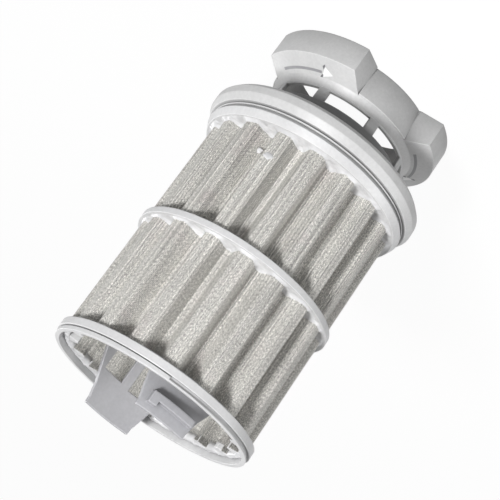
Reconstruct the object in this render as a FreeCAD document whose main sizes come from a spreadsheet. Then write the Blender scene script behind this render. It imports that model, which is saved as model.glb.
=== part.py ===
import FreeCAD, Part
import math
import os
import Sketcher

# Cylindrical filter of a dishwasher, standing on its lobed handle.
# Z = 0 is the face of the handle, the open lower end with its two feet points up.
# The near side, the one seen first, looks along -Y.

os.makedirs("parts", exist_ok=True)
doc = FreeCAD.newDocument("dishwasher_filter")
sheet = doc.addObject("Spreadsheet::Sheet", "dims")

Z_AXIS = FreeCAD.Vector(0, 0, 1)
Y_AXIS = FreeCAD.Vector(0, 1, 0)

# Driving dimensions in millimetres and degrees
DIMS = {
    # handle: an open ring with three lobes, all on a sloping underside
    "mouth_rad": 21.6,
    "mouth_z": 12.0,
    "bore": 20.9,
    "valley_low": 22.6,
    "valley_high": 24.3,
    "valley_top_z": 12.0,
    "lobe_rad": 29.7,
    "lobe_face_z": 8.1,
    "lobe_half": 32.3,
    "lip_rad": 23.6,
    "lip_z": 10.8,
    "cut_margin": 0.5,
    "beyond": 33.0,
    "facet_turn": 8.5,
    "facet_root": 23.4,
    "facet_spread": 7.1,
    "facet_lap": 0.4,
    "facet_depth": 26.0,
    "core_in": 23.8,
    "core_out": 28.2,
    "core_top_z": 6.6,
    "core_span": 50.0,
    # slotted neck between the handle and the flange
    "neck_low": 22.0,
    "neck_low_z": 12.8,
    "neck_high": 22.6,
    "window_low_z": 13.3,
    "window_tall": 3.85,
    "window_near": 19.0,
    "window_near_half": 6.17,
    "window_far": 25.0,
    "window_far_half": 8.12,
    "window_phase": 274.6,
    "window_count": 8,
    # flange with its rounded rim
    "flange_low_z": 25.0,
    "flange_soft": 33.7,
    "flange_rad": 34.7,
    "flange_start_z": 26.2,
    "flange_end_z": 28.6,
    "flange_edge": 33.5,
    "flange_edge_z": 30.6,
    "flange_seat": 32.2,
    "flange_high_z": 31.4,
    # upper end ring of the mesh cartridge
    "top_in": 22.6,
    "top_rad": 33.0,
    "top_rad_z": 32.6,
    "top_face": 31.9,
    # pleated mesh sleeve
    "sleeve_low_z": 34.8,
    "sleeve_high_z": 108.7,
    "crest_rad": 30.3,
    "crest_half": 3.2,
    "shoulder_rad": 29.7,
    "shoulder_half": 4.5,
    "fold_rad": 25.1,
    "fold_half": 1.8,
    "mesh_gauge": 0.35,
    "pleat_count": 17,
    "pleat_phase": 272.0,
    # hoop round the middle of the sleeve
    "mid_rad": 31.6,
    "mid_low_z": 68.5,
    "mid_high_z": 70.4,
    # lower end ring of the cartridge and its closing rim
    "end_in": 24.0,
    "end_rad": 31.7,
    "end_low_z": 106.9,
    "end_skirt_in": 30.85,
    "end_skirt_z": 109.2,
    "rim_in": 30.0,
    "rim_spigot": 30.8,
    "rim_rad": 31.3,
    "rim_low_z": 109.5,
    "rim_high_z": 110.7,
    "rim_step_z": 110.2,
    "rim_step_span": 140.0,
    "rim_step_mid": 198.0,
    # inner cage whose two arms end in feet
    "cage_in": 21.0,
    "cage_out": 22.4,
    "spigot_in": 19.6,
    "spigot_out": 20.8,
    "spigot_low_z": 22.0,
    "collar_high_z": 34.4,
    "hoop_low_z": 72.5,
    "hoop_tall": 4.0,
    "foot_end_z": 118.2,
    "foot_half": 7.8,
    "foot_waist": 7.9,
    "foot_waist_z": 116.3,
    "foot_flare": 8.9,
    "foot_flare_z": 112.3,
    "foot_root": 9.8,
    "shoulder_z": 107.9,
    "arm_right": 1.0,
    "arm_left": 13.4,
    "arm_left_z": 102.5,
    "opening_right": 2.0,
    "opening_left": 9.5,
    "opening_tall": 10.0,
    "opening_first_z": 41.5,
    "opening_pitch": 18.6,
    "opening_count": 4,
    "near_foot": 255.3,
    "far_foot": 70.0,
    "hook_reach": 24.6,
    "hook_top_z": 112.9,
    "hook_low_z": 114.9,
    "hook_tail_z": 116.3,
    "hook_left": 6.3,
    "hook_tail": 3.9,
    "hook_right": 7.4,
}

for row, (alias, value) in enumerate(DIMS.items(), start=1):
    sheet.set("A%d" % row, alias)
    sheet.set("B%d" % row, str(value))
    sheet.setAlias("B%d" % row, alias)
doc.recompute()

# Directions of the middles of the three lobes
LOBES = (70.0, 185.7, 314.3)


def num(alias):
    """Value of one named cell."""
    return float(sheet.get(alias))


def new_body(label):
    body = doc.addObject("PartDesign::Body", label)
    body.Label = label
    return body


def origin_part(body, role):
    return [item for item in body.Origin.OriginFeatures if item.Role == role][0]


def new_sketch(body, role, label, offset=None):
    sketch = body.newObject("Sketcher::SketchObject", label)
    sketch.AttachmentSupport = [(origin_part(body, role), "")]
    sketch.MapMode = "FlatFace"
    if offset is not None:
        sketch.AttachmentOffset = offset
    return sketch


def upright(degrees):
    """Offset that turns an upright sketch about the filter's axis."""
    return FreeCAD.Placement(FreeCAD.Vector(0, 0, 0), FreeCAD.Rotation(Y_AXIS, degrees))


def level(degrees, lift=0.0):
    """Offset that turns a level sketch about the filter's axis and lifts it."""
    return FreeCAD.Placement(FreeCAD.Vector(0, 0, lift), FreeCAD.Rotation(Z_AXIS, degrees))


def value_of(spec):
    if isinstance(spec, str):
        return -num(spec[1:]) if spec.startswith("-") else num(spec)
    return float(spec)


def bind(sketch, kind, vertex, spec):
    """Hold one coordinate of a corner, by its cell where it has one."""
    index = sketch.addConstraint(Sketcher.Constraint(kind, -1, 1, vertex, 1, value_of(spec)))
    if isinstance(spec, str):
        cell = "-dims." + spec[1:] if spec.startswith("-") else "dims." + spec
        sketch.setExpression("Constraints[%d]" % index, cell)


def outline(sketch, corners):
    """Closed outline of straight edges through corners given as cells or numbers."""
    places = [FreeCAD.Vector(value_of(x), value_of(y), 0) for x, y in corners]
    for index, start in enumerate(places):
        end = places[(index + 1) % len(places)]
        sketch.addGeometry(Part.LineSegment(start, end), False)
    for index in range(len(places)):
        following = (index + 1) % len(places)
        sketch.addConstraint(Sketcher.Constraint("Coincident", index, 2, following, 1))
    for index, (x, y) in enumerate(corners):
        bind(sketch, "DistanceX", index, x)
        bind(sketch, "DistanceY", index, y)


def finish_feature(body, feature):
    body.Tip = feature
    doc.recompute()
    return feature


def revolve(body, name, corners):
    """Full turn of an outline given as radius and height."""
    sketch = new_sketch(body, "XZ_Plane", name + "_outline")
    outline(sketch, corners)
    feature = body.newObject("PartDesign::Revolution", name)
    feature.Profile = sketch
    feature.ReferenceAxis = (sketch, ["V_Axis"])
    feature.Angle = 360
    return finish_feature(body, feature)


def must_have_cut(body, name, before):
    if body.Shape.Volume >= before:
        raise RuntimeError(name + " cut nothing")


def groove(body, name, corners, middle, span):
    """Part turn cut out of a body, centred on an angle."""
    before = body.Shape.Volume
    sketch = new_sketch(body, "XZ_Plane", name + "_outline", upright(middle))
    outline(sketch, corners)
    feature = body.newObject("PartDesign::Groove", name)
    feature.Profile = sketch
    feature.ReferenceAxis = (sketch, ["V_Axis"])
    feature.Midplane = True
    if isinstance(span, str):
        feature.setExpression("Angle", "dims." + span)
    else:
        feature.Angle = span
    finish_feature(body, feature)
    must_have_cut(body, name, before)


def pocket(body, name, sketch, length, midplane=False, upward=False):
    """Pocket of a sketch, upward or both ways."""
    before = body.Shape.Volume
    feature = body.newObject("PartDesign::Pocket", name)
    feature.Profile = sketch
    feature.setExpression("Length", "dims." + length)
    feature.Midplane = midplane
    feature.Reversed = upward
    finish_feature(body, feature)
    must_have_cut(body, name, before)
    return feature


def make_handle():
    """Lobed handle, slotted neck and flange in one moulding."""
    body = new_body("handle")
    revolve(body, "handle_turning", [
        ("mouth_rad", 0), ("lobe_rad", 0), ("lobe_rad", "lobe_face_z"),
        ("lip_rad", "lip_z"), ("neck_low", "neck_low_z"), ("neck_high", "flange_low_z"),
        ("flange_soft", "flange_low_z"), ("flange_rad", "flange_start_z"),
        ("flange_rad", "flange_end_z"), ("flange_edge", "flange_edge_z"),
        ("flange_seat", "flange_edge_z"), ("flange_seat", "flange_high_z"),
        ("bore", "flange_high_z"), ("bore", "mouth_z"), ("mouth_rad", "mouth_z"),
    ])
    nexts = LOBES[1:] + (LOBES[0] + 360.0,)
    for index, (lobe, following) in enumerate(zip(LOBES, nexts), start=1):
        cut_valley(body, index, lobe, following)
    for index, lobe in enumerate(LOBES, start=1):
        cut_lobe(body, index, lobe)
    cut_windows(body)
    return body


def cut_valley(body, index, lobe, following):
    """Clear the gap between two lobes down to the ring."""
    ends = num("lobe_half") + num("facet_turn")
    groove(body, "valley_%d" % index, [
        ("valley_low", "-cut_margin"), ("beyond", "-cut_margin"),
        ("beyond", "valley_top_z"), ("valley_high", "valley_top_z"),
    ], (lobe + following) / 2, following - lobe - 2 * ends)


def cut_facet(body, name, angle, side):
    """Slanting end of a lobe, beside the radial line at an angle."""
    sketch = new_sketch(body, "XY_Plane", name + "_outline", level(angle))
    spread = "facet_spread" if side > 0 else "-facet_spread"
    lap = "-facet_lap" if side > 0 else "facet_lap"
    outline(sketch, [("facet_root", 0), ("beyond", lap), ("beyond", spread)])
    pocket(body, name, sketch, "facet_depth", midplane=True)


def cut_lobe(body, index, lobe):
    """Slanting ends and hollow core of one lobe."""
    ends = num("lobe_half") + num("facet_turn")
    cut_facet(body, "lobe_%d_start" % index, lobe - ends, 1)
    cut_facet(body, "lobe_%d_end" % index, lobe + ends, -1)
    groove(body, "lobe_%d_core" % index, [
        ("core_in", "-cut_margin"), ("core_out", "-cut_margin"),
        ("core_out", "core_top_z"), ("core_in", "core_top_z"),
    ], lobe, "core_span")


def cut_windows(body):
    """Ring of windows through the neck, with narrow spokes between them."""
    offset = level(num("window_phase"), num("window_low_z"))
    sketch = new_sketch(body, "XY_Plane", "window_outline", offset)
    outline(sketch, [
        ("window_near", "-window_near_half"), ("window_far", "-window_far_half"),
        ("window_far", "window_far_half"), ("window_near", "window_near_half"),
    ])
    window = pocket(body, "window", sketch, "window_tall", upward=True)
    ring = body.newObject("PartDesign::PolarPattern", "windows")
    ring.Originals = [window]
    ring.Axis = (origin_part(body, "Z_Axis"), [""])
    ring.Angle = 360
    ring.setExpression("Occurrences", "dims.window_count")
    finish_feature(body, ring)


def make_top_ring():
    """Upper end ring of the cartridge, on which the pleats stand."""
    body = new_body("top_ring")
    revolve(body, "top_ring_turning", [
        ("top_in", "flange_high_z"), ("flange_seat", "flange_high_z"),
        ("top_rad", "top_rad_z"), ("top_face", "sleeve_low_z"),
        ("top_in", "sleeve_low_z"),
    ])
    return body


def make_mid_ring():
    """Hoop that holds the crests of the pleats."""
    body = new_body("mid_ring")
    revolve(body, "mid_ring_turning", [
        ("crest_rad", "mid_low_z"), ("mid_rad", "mid_low_z"),
        ("mid_rad", "mid_high_z"), ("crest_rad", "mid_high_z"),
    ])
    return body


def make_end_ring(pleats):
    """Lower end ring, filled in between the pleats that pass through it."""
    disc = new_body("end_disc")
    revolve(disc, "end_ring_turning", [
        ("end_in", "end_low_z"), ("end_rad", "end_low_z"), ("end_rad", "end_skirt_z"),
        ("end_skirt_in", "end_skirt_z"), ("end_skirt_in", "sleeve_high_z"),
        ("end_in", "sleeve_high_z"),
    ])
    return cut("end_ring", disc, pleats)


def make_rim():
    """Closing rim with a step that widens the gap over part of its turn."""
    body = new_body("closing_rim")
    revolve(body, "rim_turning", [
        ("rim_in", "sleeve_high_z"), ("rim_spigot", "sleeve_high_z"),
        ("rim_spigot", "rim_low_z"), ("rim_rad", "rim_low_z"),
        ("rim_rad", "rim_high_z"), ("rim_in", "rim_high_z"),
    ])
    groove(body, "rim_step", [
        ("rim_spigot", "end_skirt_z"), ("beyond", "end_skirt_z"),
        ("beyond", "rim_step_z"), ("rim_spigot", "rim_step_z"),
    ], num("rim_step_mid"), "rim_step_span")
    return body


def polar(radius, degrees):
    angle = math.radians(degrees)
    return FreeCAD.Vector(radius * math.cos(angle), radius * math.sin(angle), 0)


def pleat_corners(inset):
    """Corners of the closed pleated line, set inward by a thickness."""
    pitch = 360.0 / num("pleat_count")
    lean = math.degrees(inset / num("fold_rad"))
    crest_half = num("crest_half") - lean / 2
    shoulder_half = num("shoulder_half") - lean
    fold_turn = pitch / 2 - num("fold_half") - lean
    corners = []
    for index in range(int(num("pleat_count"))):
        middle = num("pleat_phase") + index * pitch
        corners += [
            polar(num("shoulder_rad") - inset, middle - shoulder_half),
            polar(num("crest_rad") - inset, middle - crest_half),
            polar(num("crest_rad") - inset, middle + crest_half),
            polar(num("shoulder_rad") - inset, middle + shoulder_half),
            polar(num("fold_rad") - inset, middle + fold_turn),
            polar(num("fold_rad") - inset, middle + pitch - fold_turn),
        ]
    return corners


def pleat_prism(name, inset):
    """Solid inside a pleated line, as tall as the sleeve."""
    sketch = doc.addObject("Sketcher::SketchObject", name + "_line")
    corners = pleat_corners(inset)
    for start, end in zip(corners, corners[1:] + corners[:1]):
        sketch.addGeometry(Part.LineSegment(start, end), False)
    sketch.setExpression(".Placement.Base.z", "dims.sleeve_low_z")
    prism = doc.addObject("Part::Extrusion", name)
    prism.Base = sketch
    prism.DirMode = "Normal"
    prism.Solid = True
    prism.setExpression("LengthFwd", "dims.sleeve_high_z - dims.sleeve_low_z")
    return prism


def cut(label, base, tool):
    result = doc.addObject("Part::Cut", label)
    result.Base = base
    result.Tool = tool
    result.Label = label
    return result


def common(label, base, tool):
    result = doc.addObject("Part::Common", label)
    result.Base = base
    result.Tool = tool
    result.Label = label
    return result


def slab(name, radius, low, height):
    """Round slab whose radius is a cell, between heights given as expressions."""
    disc = doc.addObject("Part::Cylinder", name)
    disc.setExpression("Radius", "dims." + radius)
    disc.setExpression(".Placement.Base.z", low)
    disc.setExpression("Height", height)
    return disc


def tube(name, inner, outer, low, height):
    wide = slab(name + "_outer", outer, low, height)
    narrow = slab(name + "_inner", inner, low, height)
    return cut(name, wide, narrow)


def wall_blank(name, angle, corners):
    """Flat blank that reaches outward from the axis, facing an angle."""
    body = new_body(name)
    sketch = new_sketch(body, "XZ_Plane", name + "_outline", upright(angle + 90))
    outline(sketch, corners)
    blank = body.newObject("PartDesign::Pad", name + "_pad")
    blank.Profile = sketch
    blank.setExpression("Length", "dims.beyond")
    finish_feature(body, blank)
    return body


def arm_blank(name, angle):
    """Arm and foot as a flat blank, with a ladder of openings."""
    body = wall_blank(name, angle, [
        ("-foot_half", "foot_end_z"), ("foot_half", "foot_end_z"),
        ("foot_waist", "foot_waist_z"), ("foot_flare", "foot_flare_z"),
        ("foot_root", "shoulder_z"), ("arm_right", "shoulder_z"),
        ("arm_right", "flange_high_z"), ("-arm_left", "flange_high_z"),
        ("-arm_left", "arm_left_z"), ("-foot_flare", "foot_flare_z"),
        ("-foot_waist", "foot_waist_z"),
    ])
    for step in range(int(num("opening_count"))):
        low = num("opening_first_z") + step * num("opening_pitch")
        high = low + num("opening_tall")
        label = "%s_opening_%d" % (name, step + 1)
        sketch = new_sketch(body, "XZ_Plane", label + "_outline", upright(angle + 90))
        outline(sketch, [
            ("-opening_left", low), ("-opening_right", low),
            ("-opening_right", high), ("-opening_left", high),
        ])
        pocket(body, label, sketch, "beyond", upward=True)
    return body


def make_collar():
    """Spigot that fits the neck and the collar that carries the arms."""
    body = new_body("collar")
    revolve(body, "collar_turning", [
        ("spigot_in", "spigot_low_z"), ("spigot_out", "spigot_low_z"),
        ("spigot_out", "flange_high_z"), ("cage_out", "flange_high_z"),
        ("cage_out", "collar_high_z"), ("spigot_in", "collar_high_z"),
    ])
    return body


def make_hook():
    """Raised catch on the near foot, with a tail at its left end."""
    blank = wall_blank("hook_blank", num("near_foot"), [
        ("hook_left", "hook_top_z"), ("hook_left", "hook_tail_z"),
        ("hook_tail", "hook_tail_z"), ("hook_tail", "hook_low_z"),
        ("-hook_right", "hook_low_z"), ("-hook_right", "hook_top_z"),
    ])
    shell = tube("hook_shell", "cage_in", "hook_reach", "dims.shoulder_z",
                 "dims.foot_end_z - dims.shoulder_z")
    return common("hook", shell, blank)


def make_cage():
    """Inner cage: collar, two arms with their feet, and a hoop halfway."""
    wall = tube("cage_wall", "cage_in", "cage_out", "dims.flange_high_z",
                "dims.foot_end_z - dims.flange_high_z")
    pieces = [make_collar(), make_hook()]
    for name, angle in (("near_arm", "near_foot"), ("far_arm", "far_foot")):
        blank = arm_blank(name + "_blank", num(angle))
        pieces.append(common(name, wall, blank))
    pieces.append(tube("hoop", "cage_in", "cage_out", "dims.hoop_low_z", "dims.hoop_tall"))
    cage = doc.addObject("Part::MultiFuse", "inner_cage")
    cage.Shapes = pieces
    cage.Label = "inner_cage"
    return cage


def check(parts):
    """Stop before writing if anything failed to build."""
    for item in doc.Objects:
        if "Invalid" in item.State or "Error" in item.State:
            raise RuntimeError("%s failed: %s" % (item.Name, item.State))
    for part in parts:
        if part.Shape.isNull() or not part.Shape.isValid():
            raise RuntimeError(part.Label + " has no valid shape")
        if len(part.Shape.Solids) != 1:
            raise RuntimeError("%s has %d solids" % (part.Label, len(part.Shape.Solids)))


pleats = pleat_prism("pleat_outside", 0.0)
pleat_core = pleat_prism("pleat_inside", num("mesh_gauge"))
sub_parts = [
    make_handle(), make_top_ring(), make_mid_ring(), make_end_ring(pleats), make_rim(),
    cut("mesh_sleeve", pleats, pleat_core), make_cage(),
]
doc.recompute()
check(sub_parts)
for part in sub_parts:
    part.Shape.exportStep("parts/%s.step" % part.Label)
    box = part.Shape.BoundBox
    print("%-14s %8.1f mm3  z %.1f to %.1f  r %.1f" % (
        part.Label, part.Shape.Volume, box.ZMin, box.ZMax, box.XMax))
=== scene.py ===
import math
import random
from collections import namedtuple

import bpy
from mathutils import Matrix, Vector, noise


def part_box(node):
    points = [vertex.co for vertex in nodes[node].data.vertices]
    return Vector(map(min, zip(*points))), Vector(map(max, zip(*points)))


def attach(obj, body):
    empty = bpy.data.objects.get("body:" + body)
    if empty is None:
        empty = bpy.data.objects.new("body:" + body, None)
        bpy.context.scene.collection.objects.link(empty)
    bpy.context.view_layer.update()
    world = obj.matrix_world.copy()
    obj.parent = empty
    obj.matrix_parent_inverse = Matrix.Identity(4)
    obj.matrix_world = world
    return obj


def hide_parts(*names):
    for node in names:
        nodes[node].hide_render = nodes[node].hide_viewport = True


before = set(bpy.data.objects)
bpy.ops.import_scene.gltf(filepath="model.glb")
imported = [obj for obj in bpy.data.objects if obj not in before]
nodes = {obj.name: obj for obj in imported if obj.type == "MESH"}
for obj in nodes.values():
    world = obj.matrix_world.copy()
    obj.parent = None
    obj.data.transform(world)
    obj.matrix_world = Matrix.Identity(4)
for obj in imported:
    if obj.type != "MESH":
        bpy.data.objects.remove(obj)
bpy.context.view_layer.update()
MM = 0.001

# Camera of the photograph, in metres in the frame
EYE = Vector((0.001086, -0.375907, 0.191269))
AIM = Vector((0.001086, -0.000427, 0.058789))
ROLL = math.radians(144.715)
LENS = 100.8
SENSOR = 36.0
CLIP_START = 0.01

# Lamps, with their places and widths in metres and their power in watts
Lamp = namedtuple("Lamp", "name place width power")
LAMPS = (
    Lamp("key", (0.205, -0.478, 0.55), 0.16, 5.5),
    Lamp("fill", (-0.54, -0.2, 0.2), 0.3, 1.1),
    Lamp("rear", (1.2, 1.55, 0.6), 1.0, 11.0),
)

# Sky and floor, with the floor's width in metres
SKY_LIGHT = 0.17
SKY_SEEN = (0.8, 0.8, 0.8)
FLOOR_WIDTH = 60.0
FLOOR_ROUGHNESS = 0.9
FLOOR_SEEN = (0.97, 0.97, 0.97)
FLOOR_BOUNCE = (0.22, 0.22, 0.22)
FLOOR_GLOW = 0.95

# Surface colours, as linear values
GREY_PLASTIC = (0.60, 0.60, 0.60)
CAGE_PLASTIC = (0.41, 0.41, 0.43)
PALE_PLASTIC = (0.66, 0.66, 0.665)
WHITE_PLASTIC = (0.64, 0.64, 0.645)
RESIN = (0.64, 0.64, 0.65)
WIRE = (0.60, 0.587, 0.555)
PINK_WIRE = (0.56, 0.50, 0.49)
# Colour of the cloth under the painted shadow beside the rings
WIRE_IN_RING_SHADOW = (0.29, 0.29, 0.28)
BRIGHT_WIRE = (0.85, 0.84, 0.80)
INLAY_WHITE = (0.92, 0.92, 0.92)
# Painted shadow in the corners of the arrow's head
CORNER_SHADOW_COLOUR = (0.16, 0.16, 0.17)
# Painted shade in the groove of the arrow's line
GROOVE_SHADE_COLOUR = (0.30, 0.30, 0.31)

# Share of the colour that the painted shade leaves in recesses and under the flange, with its reach
# in metres, and the gain of the painted highlight on edges
RECESS_SHADE_SHARE = 0.6
HANDLE_RECESS_SHADE_SHARE = 0.5
NECK_SHADE_SHARE = 0.3
SHELTER_REACH = 0.014
SHELTER_SPAN = (0.3, 0.8)
EDGE_HIGHLIGHT_GAIN = 1.4
EDGE_SPAN = (0.75, 0.995)

# Roughness of the potting resin
RESIN_ROUGHNESS = 0.22

# Radii and heights over which the painted shade on the neck, under the flange, sets in, in
# millimetres
NECK_SHADE_RADII = (25.4, 24.8)
NECK_SHADE_HEIGHTS = (15.5, 17.5)

# Noise values between which most of a pattern lies
NOISE_SPAN = (0.3, 0.7)

# Grain of the cloth, with its steps per millimetre across and along the wires
Grain = namedtuple("Grain", "across along detail dark light")
GRAINS = (
    Grain(3.5, 0.010, 2.0, 0.60, 1.38),
    Grain(4.2, 1.4, 1.0, 0.58, 1.42),
    Grain(4.4, 4.1, 0.0, 0.58, 1.42),
    Grain(0.5, 0.03, 2.0, 0.94, 1.06),
    Grain(0.16, 0.10, 3.0, 0.92, 1.08),
)

# Weave: pitch in millimetres, and how far a wire turns the light when it is over or under another
WIRE_PITCH = 0.4
WIRE_OVER = 1.0
WIRE_UNDER = 0.3

# Finish of the cloth, with the share of light that comes through it
WIRE_METAL = 0.1
WIRE_ROUGHNESS = 0.55
LIGHT_THROUGH = 0.62

# Painted shadow in the valleys beside the rings: radii and reach in millimetres, and the share that
# it covers
RING_SHADOW_RADII = (30.0, 25.6)
RING_SHADOW_ON_CREST = 0.12
RING_SHADOW_STRETCH = (0.9, 0.6, 1.0)
RING_SHADOW_REACH = (0.6, 5.0)
RING_SHADOW_FADE = (0.45, 1.25)
RING_SHADOW_COVER = 0.64
RING_SHADOW_PAST_RING = 0.5

# Pleats, in millimetres and degrees, with the same values as in the part's source
PLEATS = 17
PITCH = 360.0 / PLEATS
FIRST_CREST = 272.0
CREST_HALF = 3.2
SHOULDER_HALF = 4.5
SHOULDER_DROP = 0.6
FOLD_RAD = 25.1
FOLD_HALF = 1.8

# Rounding of the pleats' corners: reach in millimetres, largest share of a side, and steps
CORNER_REACH = 0.38
CORNER_SHARE = 0.45
CORNER_STEPS = 3

# Rows of faces in the height of the cloth
CLOTH_ROWS = 50

# Spans from which the small differences between the pleats are drawn
PLEAT_SEED = 17
PLEAT_SPANS = {
    "turn": (-0.35, 0.35),
    "wide": (-0.4, 0.4),
    "sink": (0.02, 0.25),
    "dip": (0.0, 0.18),
    "fold": (-0.35, 0.35),
    "sway": (0.05, 0.22),
    "wave": (7.0, 14.0),
    "start": (0.0, 6.0),
}

# Resin rings: steps round and across, reach of the climb at the cloth, lumps, and rounded rim
RESIN_TURNS = PLEATS * 36
RESIN_STEP = 0.28
CLIMB_REACH = 0.45
LUMP_SCALE = 0.55
FINE_SCALE = 1.7
FINE_SHARE = 0.5
FINE_SEED = 5
RIM_WIDTH = 0.7
RIM_DROP = 0.35
Resin = namedtuple("Resin", "name inner outer bottom surface lumps climb seed")

# Search for the nearest cloth, in millimetres and in square millimetres
NEAR_SQUARED = 20.0
FAR = 9.0
TINY = 1e-9

# Lobes of the handle: directions of their middles and the sloping face
LOBES = (70.0, 185.7, 314.3)
FACE_OUT = (29.7, 8.1)
FACE_IN = (23.6, 10.8)

# Arrow on a lobe, in millimetres and in degrees from the lobe's middle
ARROW_RAD = 25.0
LINE_WIDTH = 0.8
LINE_LIFT = 0.02
LINE_START = 24.0
LINE_END = -11.5
LINE_STEPS = 24
HEAD_BASE = -12.6
INLAY_DEPTH = 0.3

# Plates of the arrow's head, the upper and lower ones painted shadow in its corners: lift, and
# corners as radius and degrees from the base of the head
Plate = namedtuple("Plate", "name lift corners")
PLATES = (
    Plate("head", 0.03, ((ARROW_RAD, -7.4), (26.9, -1.2), (ARROW_RAD, 0.0), (23.7, 0.4))),
    Plate("upper", 0.05, ((26.9, -1.4), (27.5, -1.2), (26.9, 0.4), (26.0, -0.4))),
    Plate("lower", 0.05, ((24.5, -0.2), (24.4, 1.0), (23.5, 2.4), (23.6, 0.2))),
)

# Bead in the gap under the flange, in millimetres
BEAD_RAD = 32.55
BEAD_TUBE = 0.22
BEAD_HEIGHT = 31.15

# Drops of resin on the cloth, in millimetres and degrees
Drop = namedtuple("Drop", "radius angle height wide tall thick")
DROPS = (
    Drop(29.95, 293.0, 43.4, 1.5, 1.1, 0.5),
    Drop(25.5, 305.4, 40.7, 1.1, 1.0, 0.7),
)
DROP_UNEVEN = 0.35
DROP_WAVES = 2

# Stray wires, each from one direction and height to another
STRANDS = (
    ((283.6, 60.0), (282.6, 67.7)),
    ((259.2, 61.4), (259.6, 67.3)),
    ((237.4, 61.5), (235.6, 66.9)),
)
STRAND_OUT = 28.2
STRAND_RAD = 0.075


def size(node):
    """Lowest height, highest height and outer radius of a node, in millimetres."""
    low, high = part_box(node)
    return low[2] / MM, high[2] / MM, max(high[0], high[1]) / MM


def polar(radius, degrees, height):
    """Point in metres from a radius, a direction and a height in millimetres."""
    angle = math.radians(degrees)
    return Vector((radius * math.cos(angle), radius * math.sin(angle), height)) * MM


def make_camera():
    """Camera at the photograph's place, rolled so that the handle lies to the upper right."""
    data = bpy.data.cameras.new("camera")
    data.lens = LENS
    data.sensor_width = SENSOR
    data.clip_start = CLIP_START
    camera = bpy.data.objects.new("camera", data)
    bpy.context.scene.collection.objects.link(camera)
    gaze = (AIM - EYE).normalized()
    level = gaze.cross(Vector((0, 0, 1))).normalized()
    upright = level.cross(gaze)
    up = upright * math.cos(ROLL) + level * math.sin(ROLL)
    right = gaze.cross(up)
    turn = Matrix((right, up, -gaze)).transposed()
    camera.matrix_world = Matrix.Translation(EYE) @ turn.to_4x4()
    bpy.context.scene.camera = camera


class Nodes:
    """Node tree, with short calls for the nodes used here."""

    def __init__(self, tree):
        self.tree = tree

    def add(self, kind, **settings):
        node = self.tree.nodes.new(kind)
        for key, value in settings.items():
            setattr(node, key, value)
        return node

    def put(self, value, socket):
        """Link an output to a socket, or set a number, a direction or a colour on it."""
        if isinstance(value, bpy.types.NodeSocket):
            self.tree.links.new(value, socket)
        elif isinstance(value, tuple) and len(socket.default_value) == 4:
            socket.default_value = value + (1.0,)
        else:
            socket.default_value = value

    def result(self, kind, output, inputs, **settings):
        """Output of a new node with its inputs put in place."""
        node = self.add(kind, **settings)
        for socket, value in inputs.items():
            self.put(value, node.inputs[socket])
        return node.outputs[output]

    def maths(self, operation, *values):
        inputs = dict(enumerate(values))
        return self.result("ShaderNodeMath", "Value", inputs, operation=operation)

    def vectors(self, operation, *values, output="Vector"):
        inputs = dict(enumerate(values))
        return self.result("ShaderNodeVectorMath", output, inputs, operation=operation)

    def scaled(self, vector, factor):
        """Colour or direction times a factor."""
        inputs = {0: vector, "Scale": factor}
        return self.result("ShaderNodeVectorMath", "Vector", inputs, operation="SCALE")

    def product(self, factors):
        """All factors multiplied."""
        total = factors[0]
        for factor in factors[1:]:
            total = self.maths("MULTIPLY", total, factor)
        return total

    def mix_shaders(self, share, first, second, socket):
        """Mix of two shaders, put on the surface of an output node."""
        inputs = {0: share, 1: first, 2: second}
        self.put(self.result("ShaderNodeMixShader", "Shader", inputs), socket)


class Shading(Nodes):
    """Material with its node tree, and calls for patterns and surface directions."""

    def __init__(self, name):
        self.material = bpy.data.materials.new(name)
        self.material.use_nodes = True
        super().__init__(self.material.node_tree)
        self.shader = self.tree.nodes["Principled BSDF"]

    def surface(self, name, value):
        """Put a value on one of the shader's own sockets."""
        self.put(value, self.shader.inputs[name])

    def mix_in(self, share, second):
        """Mix a second shader into the surface."""
        end = self.tree.nodes["Material Output"].inputs["Surface"]
        self.mix_shaders(share, self.shader.outputs[0], second, end)

    def object_place(self):
        return self.result("ShaderNodeTexCoord", "Object", {})

    def noise(self, vector, scale, detail=2.0):
        inputs = {"Vector": vector, "Scale": scale, "Detail": detail}
        return self.result("ShaderNodeTexNoise", "Fac", inputs)

    def stretch(self, vector, factors):
        return self.result("ShaderNodeMapping", "Vector", {"Vector": vector, "Scale": factors})

    def remap(self, value, low, high, new_low, new_high):
        inputs = {"From Min": low, "From Max": high, "To Min": new_low, "To Max": new_high}
        return self.result("ShaderNodeMapRange", "Result", {"Value": value, **inputs})

    def grain(self, vector, scale, detail, low, high, span=NOISE_SPAN):
        """Noise whose span is spread from a low to a high value."""
        return self.remap(self.noise(vector, scale, detail), *span, low, high)

    def parts(self, vector):
        """First, second and third part of a vector."""
        node = self.add("ShaderNodeSeparateXYZ")
        self.put(vector, node.inputs["Vector"])
        return tuple(node.outputs)

    def blend(self, factor, first, second):
        """Mix of two colours."""
        inputs = {"Factor": factor, 6: first, 7: second}
        return self.result("ShaderNodeMix", 2, inputs, data_type="RGBA")

    def facing(self):
        """The surface's own direction."""
        return self.result("ShaderNodeNewGeometry", "Normal", {})

    def bump(self, height, strength, distance, under=None):
        """Bump from a height, over the surface's own direction or a given one."""
        inputs = {"Height": height, "Strength": strength, "Distance": distance}
        if under is not None:
            inputs["Normal"] = under
        self.surface("Normal", self.result("ShaderNodeBump", "Normal", inputs))


def round_place(look, place):
    """Radius and height of a place on the object, in millimetres."""
    east, north, height = look.parts(look.scaled(place, 1 / MM))
    east_square = look.maths("MULTIPLY", east, east)
    north_square = look.maths("MULTIPLY", north, north)
    return look.maths("SQRT", look.maths("ADD", east_square, north_square)), height


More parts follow.
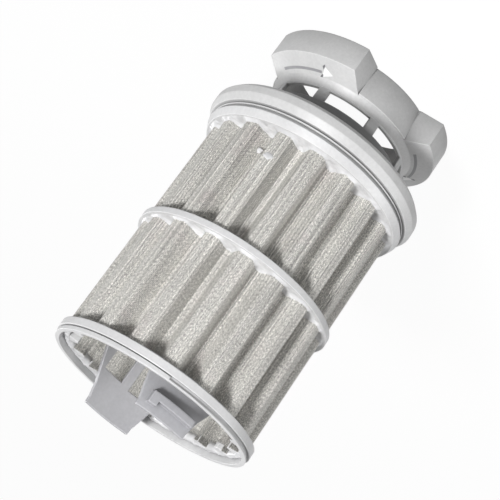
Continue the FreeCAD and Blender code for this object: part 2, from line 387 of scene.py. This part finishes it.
def painted_neck_shade(look, place):
    """Painted shade on the neck, under the flange; one elsewhere."""
    radius, height = round_place(look, place)
    inner = look.remap(radius, *NECK_SHADE_RADII, 0.0, 1.0)
    above = look.remap(height, *NECK_SHADE_HEIGHTS, 0.0, 1.0)
    return look.remap(look.maths("MULTIPLY", inner, above), 0.0, 1.0, 1.0, NECK_SHADE_SHARE)


def painted_recess_shade(look, recess_shade):
    """Painted shade in recesses, where other surfaces stand close; one in the open."""
    reach = {"Distance": SHELTER_REACH}
    shelter = look.result("ShaderNodeAmbientOcclusion", "AO", reach, samples=8)
    return look.remap(shelter, *SHELTER_SPAN, recess_shade, 1.0)


def painted_edge_highlight(look, rounding):
    """Painted highlight: gain where the rounded direction leaves the flat one, at an edge; one
    elsewhere.
    """
    flat = look.vectors("DOT_PRODUCT", rounding, look.facing(), output="Value")
    return look.remap(flat, *EDGE_SPAN, EDGE_HIGHLIGHT_GAIN, 1.0)


def plastic(name, colour, roughness, soft_edge, recess_shade=RECESS_SHADE_SHARE, neck=False):
    """Moulded plastic: faint mottle, painted shade in its recesses, fine grain, soft edges with a
    painted highlight.
    """
    look = Shading(name)
    place = look.object_place()
    rounding = look.result("ShaderNodeBevel", "Normal", {"Radius": soft_edge}, samples=6)
    factors = [
        look.grain(place, scale=90.0, detail=4.0, low=0.94, high=1.05),
        look.grain(place, scale=1100.0, detail=2.0, low=0.96, high=1.04),
        # painted shade: darker where other surfaces stand close
        painted_recess_shade(look, recess_shade),
        # painted highlight: lighter colour at every edge
        painted_edge_highlight(look, rounding),
    ]
    # painted shade on the neck, where the flange shadows it
    if neck:
        factors.append(painted_neck_shade(look, place))
    look.surface("Base Color", look.scaled(colour, look.product(factors)))
    sheen = look.grain(place, scale=220.0, detail=3.0, low=roughness - 0.05, high=roughness + 0.06)
    look.surface("Roughness", sheen)
    look.bump(look.noise(place, scale=2500.0), strength=0.1, distance=0.0001, under=rounding)
    return look.material


def cured_resin(name, colour):
    """Glossy potting resin with mottle and small lumps."""
    look = Shading(name)
    place = look.object_place()
    mottle = look.grain(place, scale=260.0, detail=4.0, low=0.88, high=1.12, span=(0.35, 0.65))
    look.surface("Base Color", look.scaled(colour, mottle))
    look.surface("Roughness", RESIN_ROUGHNESS)
    look.bump(look.noise(place, scale=500.0), strength=0.35, distance=0.0006)
    return look.material


def wire_cloth(name):
    """Fine woven stainless wire: round wires, uneven lines, patches, painted shadow beside the
    rings, light coming through.
    """
    look = Shading(name)
    coordinates = look.add("ShaderNodeTexCoord")
    cloth = coordinates.outputs["UV"]
    place = coordinates.outputs["Object"]
    layers = []
    for grain in GRAINS:
        run = look.stretch(cloth, (grain.across, grain.along, 1.0))
        layers.append(look.grain(run, 1.0, grain.detail, grain.dark, grain.light))
    pink = look.grain(place, scale=110.0, detail=2.0, low=0.0, high=0.35, span=(0.58, 0.72))
    base = look.scaled(look.blend(pink, WIRE, PINK_WIRE), look.product(layers))
    inside = look.result("ShaderNodeNewGeometry", "Backfacing", {})
    outside = look.maths("SUBTRACT", 1.0, inside)
    # painted shadow in the valleys just below the rings
    ring_shadow = look.maths("MULTIPLY", painted_ring_shadow(look, cloth, place), outside)
    base = look.blend(ring_shadow, base, WIRE_IN_RING_SHADOW)
    look.surface("Base Color", base)
    look.surface("Metallic", WIRE_METAL)
    look.surface("Roughness", WIRE_ROUGHNESS)
    look.surface("Normal", weave_normal(look, cloth))
    through = look.result("ShaderNodeBsdfTranslucent", "BSDF", {"Color": base})
    look.mix_in(look.maths("MULTIPLY", inside, LIGHT_THROUGH), through)
    return look.material


def across_wire(look, run):
    """Place across one wire, from -1 to 1, and the wire's whole number."""
    count = look.maths("DIVIDE", run, WIRE_PITCH)
    lean = look.remap(look.maths("FRACT", count), 0.0, 1.0, -1.0, 1.0)
    return lean, look.maths("FLOOR", count)


def weave_normal(look, cloth):
    """Surface direction of round wires that pass over and under each other."""
    length, height, _ = look.parts(cloth)
    lean_u, number_u = across_wire(look, length)
    lean_v, number_v = across_wire(look, height)
    odd = look.maths("PINGPONG", look.maths("ADD", number_u, number_v), 1.0)
    even = look.maths("SUBTRACT", 1.0, odd)
    facing = look.facing()
    along = look.result("ShaderNodeTangent", "Tangent", {}, direction_type="UV_MAP", uv_map="cloth")
    upward = look.vectors("CROSS_PRODUCT", facing, along)
    total = facing
    for direction, lean, over in ((along, lean_u, odd), (upward, lean_v, even)):
        weight = look.remap(over, 0.0, 1.0, WIRE_UNDER, WIRE_OVER)
        turned = look.scaled(direction, look.maths("MULTIPLY", lean, weight))
        total = look.vectors("ADD", total, turned)
    return look.vectors("NORMALIZE", total)


def painted_ring_shadow(look, cloth, place):
    """Mask of the painted shadow in the valleys on the handle's side of the rings."""
    _, height, _ = look.parts(cloth)
    radius, _ = round_place(look, place)
    depth = look.remap(radius, *RING_SHADOW_RADII, RING_SHADOW_ON_CREST, 1.0)
    nearest, farthest = RING_SHADOW_REACH
    stretched = look.stretch(cloth, RING_SHADOW_STRETCH)
    ragged = look.grain(stretched, scale=1.0, detail=5.0, low=nearest, high=farthest)
    reach = look.maths("MULTIPLY", ragged, depth)
    masks = []
    for node in ("mid_ring", "end_ring"):
        away = look.maths("SUBTRACT", size(node)[0], height)
        near = look.remap(look.maths("DIVIDE", away, reach), *RING_SHADOW_FADE, RING_SHADOW_COVER, 0.0)
        below = look.maths("GREATER_THAN", away, -RING_SHADOW_PAST_RING)
        masks.append(look.maths("MULTIPLY", near, below))
    return look.maths("MAXIMUM", *masks)


def plain(name, colour, roughness):
    """Small inlaid or stray piece with a faint grain."""
    look = Shading(name)
    mottle = look.grain(look.object_place(), scale=400.0, detail=2.0, low=0.94, high=1.04)
    look.surface("Base Color", look.scaled(colour, mottle))
    look.surface("Roughness", roughness)
    return look.material


def paint(node, material):
    slots = nodes[node].data.materials
    slots.clear()
    slots.append(material)


def new_piece(name, points, faces, material, smooth=True):
    """Mesh piece that rides on the body, with the given finish in its one slot."""
    mesh = bpy.data.meshes.new(name)
    mesh.from_pydata(points, [], faces)
    mesh.update()
    for polygon in mesh.polygons:
        polygon.use_smooth = smooth
    mesh.materials.append(material)
    piece = bpy.data.objects.new(name, mesh)
    bpy.context.scene.collection.objects.link(piece)
    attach(piece, "root")
    return piece


def loop_faces(count, pairs):
    """Faces between pairs of closed loops of points, each given by its first point."""
    faces = []
    for here, there in pairs:
        for step in range(count):
            following = (step + 1) % count
            faces.append((here + step, there + step, there + following, here + following))
    return faces


def rounded(corners):
    """Closed line through flat corners, each one rounded."""
    line = []
    for index, corner in enumerate(corners):
        before = corners[index - 1] - corner
        after = corners[(index + 1) % len(corners)] - corner
        start = corner + before * min(CORNER_SHARE, CORNER_REACH / before.length)
        end = corner + after * min(CORNER_SHARE, CORNER_REACH / after.length)
        for step in range(CORNER_STEPS + 1):
            t = step / CORNER_STEPS
            line.append(start * (1 - t) ** 2 + corner * 2 * t * (1 - t) + end * t ** 2)
    return line


def pleat_line(height, pleats):
    """Cross-section of the cloth at a height, in millimetres, with uneven pleats."""
    crest_rad = size("mesh_sleeve")[2]
    corners = []
    for index, pleat in enumerate(pleats):
        sway = pleat["sway"] * math.sin(height / pleat["wave"] + pleat["start"])
        middle = FIRST_CREST + index * PITCH + pleat["turn"] + sway
        crest = crest_rad - pleat["sink"]
        half = CREST_HALF + pleat["wide"]
        shoulder = half + SHOULDER_HALF - CREST_HALF
        fold = FOLD_RAD + pleat["fold"]
        floor = middle + PITCH / 2
        corners += [
            (crest - SHOULDER_DROP, middle - shoulder),
            (crest, middle - half),
            (crest - pleat["dip"], middle),
            (crest, middle + half),
            (crest - SHOULDER_DROP, middle + shoulder),
            (fold, floor - FOLD_HALF),
            (fold, floor + FOLD_HALF),
        ]
    return rounded([polar(radius, angle, 0) / MM for radius, angle in corners])


def uneven_pleats():
    """Small differences between the pleats, drawn one pleat after the other."""
    chance = random.Random(PLEAT_SEED)
    spans = PLEAT_SPANS.items()
    return [{key: chance.uniform(*span) for key, span in spans} for _ in range(PLEATS)]


def make_cloth(material, pleats):
    """Pleated wire cloth that takes the place of the plain sleeve."""
    low, high, _ = size("mesh_sleeve")
    heights = [low + (high - low) * row / CLOTH_ROWS for row in range(CLOTH_ROWS + 1)]
    lines = [pleat_line(height, pleats) for height in heights]
    count = len(lines[0])
    points = []
    for height, line in zip(heights, lines):
        points += [(point.x * MM, point.y * MM, height * MM) for point in line]
    faces = []
    for row in range(CLOTH_ROWS):
        here = row * count
        there = here + count
        for column in range(count):
            following = (column + 1) % count
            faces.append((here + column, here + following, there + following, there + column))
    piece = new_piece("pleated_cloth", points, faces, material)
    lay_cloth(piece.data, lines[CLOTH_ROWS // 2], heights)
    piece.modifiers.new("flat_faces", "WEIGHTED_NORMAL")
    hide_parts("mesh_sleeve")


def lay_cloth(mesh, line, heights):
    """Map the weave by the cloth's own length and height, in millimetres."""
    count = len(line)
    run = [0.0]
    for index in range(count):
        run.append(run[-1] + (line[(index + 1) % count] - line[index]).length)
    layer = mesh.uv_layers.new(name="cloth")
    for polygon in mesh.polygons:
        first = polygon.vertices[0] % count
        for corner, loop in enumerate(polygon.loop_indices):
            row = polygon.vertices[corner] // count
            column = first + (1 if corner in (1, 2) else 0)
            layer.data[loop].uv = (run[column], heights[row])


def near_line(line):
    """Function that gives the distance from a flat point to a closed line."""
    pairs = list(zip(line, line[1:] + line[:1]))

    def distance(point):
        best = FAR
        for start, end in pairs:
            if (start - point).length_squared > NEAR_SQUARED:
                continue
            along = end - start
            t = (point - start).dot(along) / max(along.length_squared, TINY)
            nearest = start + along * max(0.0, min(1.0, t))
            best = min(best, (nearest - point).length)
        return best
    return distance


def resin_height(ring, radius, spot, away):
    """Height of the resin at a flat spot, from the spot's distance to the cloth."""
    climb = ring.climb * math.exp(-away / CLIMB_REACH)
    lump = noise.noise(Vector((spot.x * LUMP_SCALE, spot.y * LUMP_SCALE, ring.seed)))
    fine_seed = ring.seed + FINE_SEED
    fine = noise.noise(Vector((spot.x * FINE_SCALE, spot.y * FINE_SCALE, fine_seed)))
    rise = climb + ring.lumps * (lump + FINE_SHARE * fine)
    rim = math.sqrt(max(0.0, min(1.0, (ring.outer - radius) / RIM_WIDTH)))
    return ring.surface + rim * rise - RIM_DROP * (1 - rim)


def resin_faces(across):
    """Faces of a resin ring: its surface, its two walls and its underside."""
    faces = []
    wide = across + 1
    low = RESIN_TURNS * wide
    for turn in range(RESIN_TURNS):
        following = (turn + 1) % RESIN_TURNS
        here = turn * wide
        there = following * wide
        low_here = low + turn * 2
        low_there = low + following * 2
        for step in range(across):
            faces.append((here + step, here + step + 1, there + step + 1, there + step))
        faces.append((here + across, low_here + 1, low_there + 1, there + across))
        faces.append((here, there, low_there, low_here))
        faces.append((low_here, low_there, low_there + 1, low_here + 1))
    return faces


def make_resin(ring, line, material):
    """Ring of potting resin whose surface climbs a little where it meets the cloth."""
    across = int((ring.outer - ring.inner) / RESIN_STEP)
    away = near_line(line)
    angles = [360.0 * turn / RESIN_TURNS for turn in range(RESIN_TURNS)]
    points = []
    for angle in angles:
        for step in range(across + 1):
            radius = ring.inner + (ring.outer - ring.inner) * step / across
            spot = polar(radius, angle, 0) / MM
            points.append(polar(radius, angle, resin_height(ring, radius, spot, away(spot))))
    for angle in angles:
        points.append(polar(ring.inner, angle, ring.bottom))
        points.append(polar(ring.outer, angle, ring.bottom))
    new_piece(ring.name, points, resin_faces(across), material)


def make_resins(material, pleats):
    """Resin at the head ring, at the middle hoop and inside the open end."""
    head_top = size("top_ring")[1]
    hoop_low, hoop_high, _ = size("mid_ring")
    end_top = size("mesh_sleeve")[1]
    head = Resin("head_resin", inner=24.3, outer=31.6, bottom=head_top - 0.6,
                 surface=head_top + 0.05, lumps=0.2, climb=0.75, seed=1.0)
    hoop = Resin("hoop_resin", inner=24.8, outer=30.9, bottom=hoop_low + 0.2,
                 surface=hoop_high + 0.05, lumps=0.17, climb=0.7, seed=2.0)
    end = Resin("end_resin", inner=28.0, outer=30.0, bottom=end_top - 2.4,
                surface=end_top + 0.15, lumps=0.15, climb=0.3, seed=3.0)
    make_resin(head, pleat_line(head_top, pleats), material)
    make_resin(hoop, pleat_line(hoop_high, pleats), material)
    make_resin(end, pleat_line(end_top, pleats), material)


def face_point(radius, angle, lift):
    """Point over a lobe's sloping face, by a lift in millimetres."""
    (out_rad, out_z), (in_rad, in_z) = FACE_OUT, FACE_IN
    height = out_z + (out_rad - radius) * (in_z - out_z) / (out_rad - in_rad)
    return polar(radius, angle, height + lift)


def make_plate(name, outline, lift, material):
    """Thin inlaid plate on a lobe's sloping face, from an outline of radius and angle."""
    count = len(outline)
    points = [face_point(radius, angle, lift) for radius, angle in outline]
    points += [face_point(radius, angle, -INLAY_DEPTH) for radius, angle in outline]
    faces = [tuple(range(count))]
    for index in range(count):
        following = (index + 1) % count
        faces.append((index, index + count, following + count, following))
    new_piece(name, points, faces, material, smooth=False)


def make_strip(name, middle, material):
    """Curved line of an arrow on a lobe's sloping face."""
    section = ((-0.5, -INLAY_DEPTH), (-0.5, LINE_LIFT), (0.5, LINE_LIFT), (0.5, -INLAY_DEPTH))
    points = []
    for step in range(LINE_STEPS + 1):
        angle = middle + LINE_START + (LINE_END - LINE_START) * step / LINE_STEPS
        for edge, lift in section:
            points.append(face_point(ARROW_RAD + edge * LINE_WIDTH, angle, lift))
    last = 4 * LINE_STEPS
    faces = [(0, 1, 2, 3), (last + 3, last + 2, last + 1, last)]
    for step in range(LINE_STEPS):
        for corner in range(3):
            base = 4 * step + corner
            faces.append((base, base + 4, base + 5, base + 1))
    new_piece(name, points, faces, material, smooth=False)


def make_arrows(finishes):
    """Turning arrow on each lobe: a fine line painted in the shade of its groove, and a cut head
    with painted shadow in its corners.
    """
    for index, middle in enumerate(LOBES, start=1):
        arrow = "arrow_%d_" % index
        make_strip(arrow + "line", middle, finishes["line"])
        base = middle + HEAD_BASE
        for plate in PLATES:
            outline = [(radius, base + angle) for radius, angle in plate.corners]
            make_plate(arrow + plate.name, outline, plate.lift, finishes[plate.name])


def make_bead(material):
    """Fine bead that shows in the gap between flange and mesh cartridge."""
    around = 192
    across = 10
    points = []
    for turn in range(around):
        for step in range(across):
            lean = 2 * math.pi * step / across
            radius = BEAD_RAD + BEAD_TUBE * math.cos(lean)
            height = BEAD_HEIGHT + BEAD_TUBE * math.sin(lean)
            points.append(polar(radius, 360.0 * turn / around, height))
    pairs = [(turn * across, (turn + 1) % around * across) for turn in range(around)]
    new_piece("gap_bead", points, loop_faces(across, pairs), material)


def make_drop(name, drop, material):
    """Flattened lump of resin on the cloth."""
    rings = 8
    around = 20
    centre = polar(drop.radius, drop.angle, drop.height)
    out = polar(1, drop.angle, 0) / MM
    side = Vector((-out.y, out.x, 0))
    up = Vector((0, 0, 1))
    points = [centre + out * drop.thick * MM]
    for ring in range(1, rings + 1):
        lean = math.pi / 2 * ring / rings
        for turn in range(around):
            way = 2 * math.pi * turn / around
            round_way = Vector((math.cos(way), math.sin(way), 0)) * DROP_WAVES
            lump = noise.noise(round_way + up * (drop.radius + drop.angle))
            spread = math.sin(lean) * (1 + DROP_UNEVEN * lump)
            flat = side * drop.wide * math.cos(way) + up * drop.tall * math.sin(way)
            points.append(centre + (flat * spread + out * drop.thick * math.cos(lean)) * MM)
    faces = [(0, 1 + turn, 1 + (turn + 1) % around) for turn in range(around)]
    firsts = [1 + ring * around for ring in range(rings)]
    faces += loop_faces(around, zip(firsts, firsts[1:]))
    new_piece(name, points, faces, material)


def make_strand(name, start, end, material):
    """Stray wire that stands a little off the cloth."""
    curve = bpy.data.curves.new(name, "CURVE")
    curve.dimensions = "3D"
    curve.bevel_depth = STRAND_RAD * MM
    spline = curve.splines.new("POLY")
    spline.points.add(1)
    for point, (angle, height) in zip(spline.points, (start, end)):
        point.co = polar(STRAND_OUT, angle, height).to_4d()
    curve.materials.append(material)
    piece = bpy.data.objects.new(name, curve)
    bpy.context.scene.collection.objects.link(piece)
    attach(piece, "root")


def directly_seen(look):
    """One where the camera sees a surface, straight, in a reflection or through something."""
    path = look.add("ShaderNodeLightPath")
    seen = path.outputs["Is Camera Ray"]
    for name in ("Is Glossy Ray", "Is Transmission Ray"):
        seen = look.maths("MAXIMUM", seen, path.outputs[name])
    return seen


def make_floor():
    """Floor that is white where it is seen, keeps a faint shadow and sends back little light."""
    bpy.ops.mesh.primitive_plane_add(size=FLOOR_WIDTH, location=(0, 0, 0))
    floor = bpy.context.object
    floor.name = "floor"
    look = Shading("floor")
    seen = directly_seen(look)
    look.surface("Base Color", look.blend(seen, FLOOR_BOUNCE, FLOOR_SEEN))
    look.surface("Roughness", FLOOR_ROUGHNESS)
    white = look.result("ShaderNodeEmission", "Emission", {})
    look.mix_in(look.maths("MULTIPLY", seen, FLOOR_GLOW), white)
    floor.data.materials.append(look.material)


def make_world():
    """Even light from the sky at a low level, and a pale grey sky where it is seen."""
    world = bpy.data.worlds.new("studio")
    bpy.context.scene.world = world
    world.use_nodes = True
    look = Nodes(world.node_tree)
    sky = look.tree.nodes["Background"]
    look.put((1.0, 1.0, 1.0), sky.inputs["Color"])
    look.put(SKY_LIGHT, sky.inputs["Strength"])
    pale = look.result("ShaderNodeBackground", "Background", {"Color": SKY_SEEN})
    end = look.tree.nodes["World Output"].inputs["Surface"]
    look.mix_shaders(directly_seen(look), sky.outputs[0], pale, end)


def add_lamp(lamp):
    """Square lamp turned to the middle of the object."""
    data = bpy.data.lights.new(lamp.name, "AREA")
    data.size = lamp.width
    data.energy = lamp.power
    light = bpy.data.objects.new(lamp.name, data)
    bpy.context.scene.collection.objects.link(light)
    light.location = lamp.place
    gaze = AIM - Vector(lamp.place)
    light.rotation_euler = gaze.to_track_quat("-Z", "Y").to_euler()


make_camera()
make_floor()
make_world()
for lamp in LAMPS:
    add_lamp(lamp)

grey = plastic("grey_plastic", GREY_PLASTIC, roughness=0.42, soft_edge=0.0005,
               recess_shade=HANDLE_RECESS_SHADE_SHARE, neck=True)
cage = plastic("cage_plastic", CAGE_PLASTIC, roughness=0.40, soft_edge=0.0005)
pale = plastic("pale_plastic", PALE_PLASTIC, roughness=0.38, soft_edge=0.0004)
white = plastic("white_plastic", WHITE_PLASTIC, roughness=0.35, soft_edge=0.0003)
resin = cured_resin("resin", RESIN)
cloth = wire_cloth("steel_mesh")
inlay_white = plain("inlay_white", INLAY_WHITE, roughness=0.5)
# The dark and grey inlays are painted shadow in the head's corners and painted shade in the line's
# groove
painted_corner_shadow = plain("painted_corner_shadow", CORNER_SHADOW_COLOUR, roughness=0.5)
painted_groove_shade = plain("painted_groove_shade", GROOVE_SHADE_COLOUR, roughness=0.5)
bright_wire = plain("bright_wire", BRIGHT_WIRE, roughness=0.4)

paint("handle", grey)
paint("inner_cage", cage)
for node in ("top_ring", "mid_ring", "end_ring"):
    paint(node, pale)
paint("closing_rim", white)

pleats = uneven_pleats()
make_cloth(cloth, pleats)
make_resins(resin, pleats)
make_arrows({"line": painted_groove_shade, "head": inlay_white, "upper": painted_corner_shadow, "lower": painted_corner_shadow})
make_bead(pale)
for index, drop in enumerate(DROPS, start=1):
    make_drop("drop_%d" % index, drop, resin)
for index, (start, end) in enumerate(STRANDS, start=1):
    make_strand("strand_%d" % index, start, end, bright_wire)

scene = bpy.context.scene
scene.view_settings.view_transform = "Standard"
